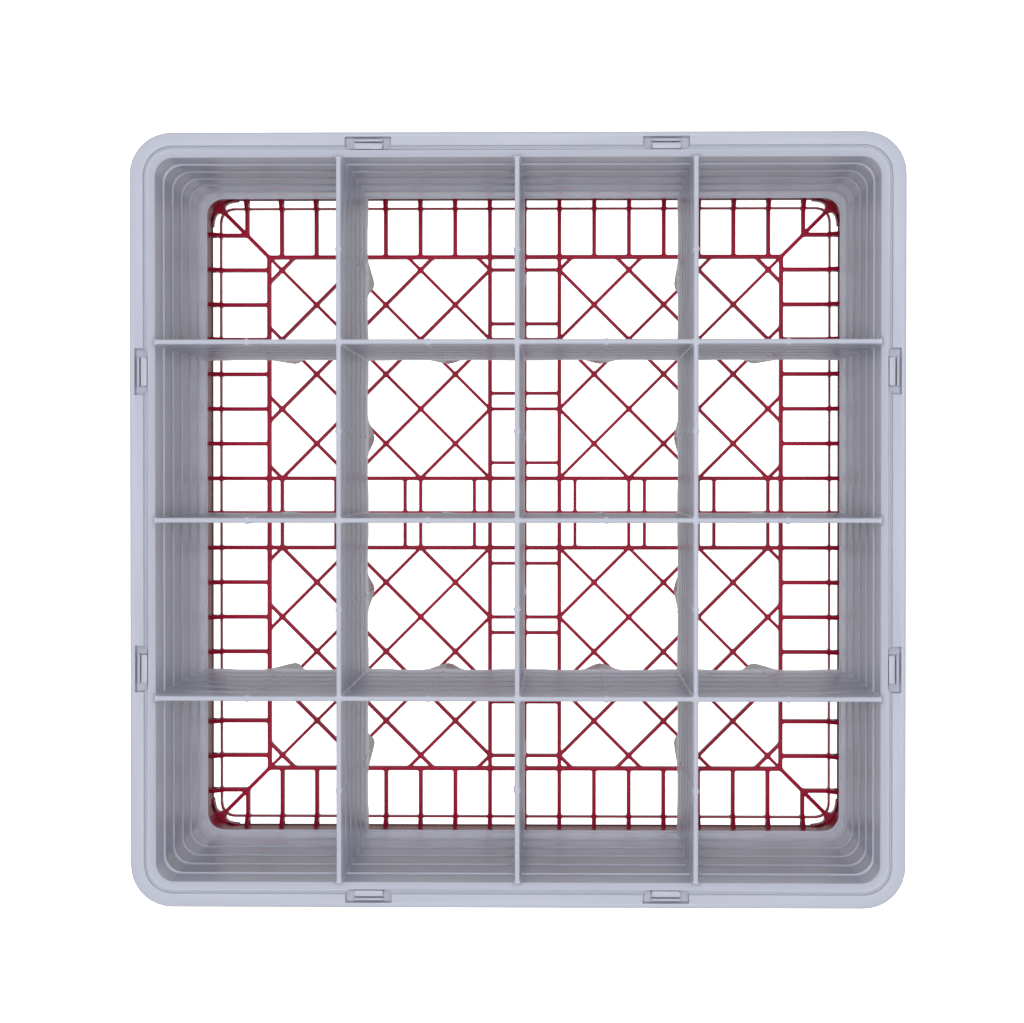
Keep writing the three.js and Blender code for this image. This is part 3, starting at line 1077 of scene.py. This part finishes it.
def make_lights():
    """Two soft lights overhead and one on each side, under a world that is brightest low down."""
    world = bpy.data.worlds.new("studio")
    bpy.context.scene.world = world
    graph = Graph(world, "Background")
    place = graph.node("ShaderNodeTexCoord")
    height = graph.node("ShaderNodeSeparateXYZ", None, {0: place}, output=2)
    low_sky = 1 - graph.steps(height, 0.2, 0.75)
    sky = graph.steps(height, -0.1, 0.1) * (low_sky * 1.0 + 0.06) + 0.03
    graph.shader.inputs["Color"].default_value = (0.92, 0.95, 1.0, 1)
    graph.feed(graph.shader.inputs["Strength"], sky)
    add_softbox("overhead", (0.05, 0.1, 2.9), 1.6, 5)
    add_softbox("spot", (0.02, 0.04, 2.9), 0.8, 48).visible_glossy = False
    add_softbox("left", (-1.7, 0.6, 1.9), 1.2, 5)
    add_softbox("right", (1.7, -0.8, 1.9), 1.2, 3)
    view = bpy.context.scene.view_settings
    view.view_transform = "Standard"
    view.look = "None"


def add_softbox(name, place, size, power):
    light = bpy.data.lights.new(name, "AREA")
    light.size = size
    light.energy = power
    lamp = bpy.data.objects.new(name, light)
    lamp.location = place
    aim = Vector((0, 0, CAD_BOX[1].z / 2)) - Vector(place)
    lamp.rotation_euler = aim.to_track_quat("-Z", "Y").to_euler()
    bpy.context.collection.objects.link(lamp)
    return lamp


def make_camera():
    """A camera almost straight above, a little off the middle and tilted back to it."""
    data = bpy.data.cameras.new("camera")
    data.sensor_width = 36
    data.lens = 92.6
    data.clip_end = 50
    camera = bpy.data.objects.new("camera", data)
    camera.location = (0.0291, 0.0288, CAD_BOX[1].z + 1.695)
    slope = (-0.01908, -0.01355)
    aim = Vector((slope[0], slope[1], -1))
    camera.rotation_mode = "QUATERNION"
    camera.rotation_quaternion = upright_look(aim)
    bpy.context.collection.objects.link(camera)
    bpy.context.scene.camera = camera


def upright_look(aim):
    """The turn of a camera that looks along aim with +Y up in its picture."""
    back = -aim.normalized()
    right = Vector((0, 1, 0)).cross(back).normalized()
    up = back.cross(right)
    return Matrix((right, up, back)).transposed().to_quaternion()


class RACK_PT_panel(bpy.types.Panel):
    """Lists the sizes, the colours and the steps that build the rack"""

    bl_idname = "RACK_PT_panel"
    bl_label = "Bottle rack"
    bl_space_type = "VIEW_3D"
    bl_region_type = "UI"
    bl_category = "Rack"

    def draw(self, context):
        for group in (context.scene.rack_sizes, context.scene.rack_colours):
            for name in group.__annotations__:
                self.layout.prop(group, name)
        for operator in STEPS:
            self.layout.operator(operator.bl_idname)


STEPS = (RACK_OT_materials, RACK_OT_stage, RACK_OT_base, RACK_OT_frames, RACK_OT_dividers)
CLASSES = (RackSizes, RackColours, *STEPS, RACK_PT_panel)


def register():
    for item in CLASSES:
        bpy.utils.register_class(item)
    bpy.types.Scene.rack_sizes = PointerProperty(type=RackSizes)
    bpy.types.Scene.rack_colours = PointerProperty(type=RackColours)


def unregister():
    del bpy.types.Scene.rack_sizes
    del bpy.types.Scene.rack_colours
    for item in reversed(CLASSES):
        bpy.utils.unregister_class(item)


def main():
    register()
    bpy.ops.rack.materials()
    bpy.ops.rack.stage()
    bpy.ops.rack.base()
    bpy.ops.rack.frames()
    bpy.ops.rack.dividers()


if __name__ == "__main__":
    main()
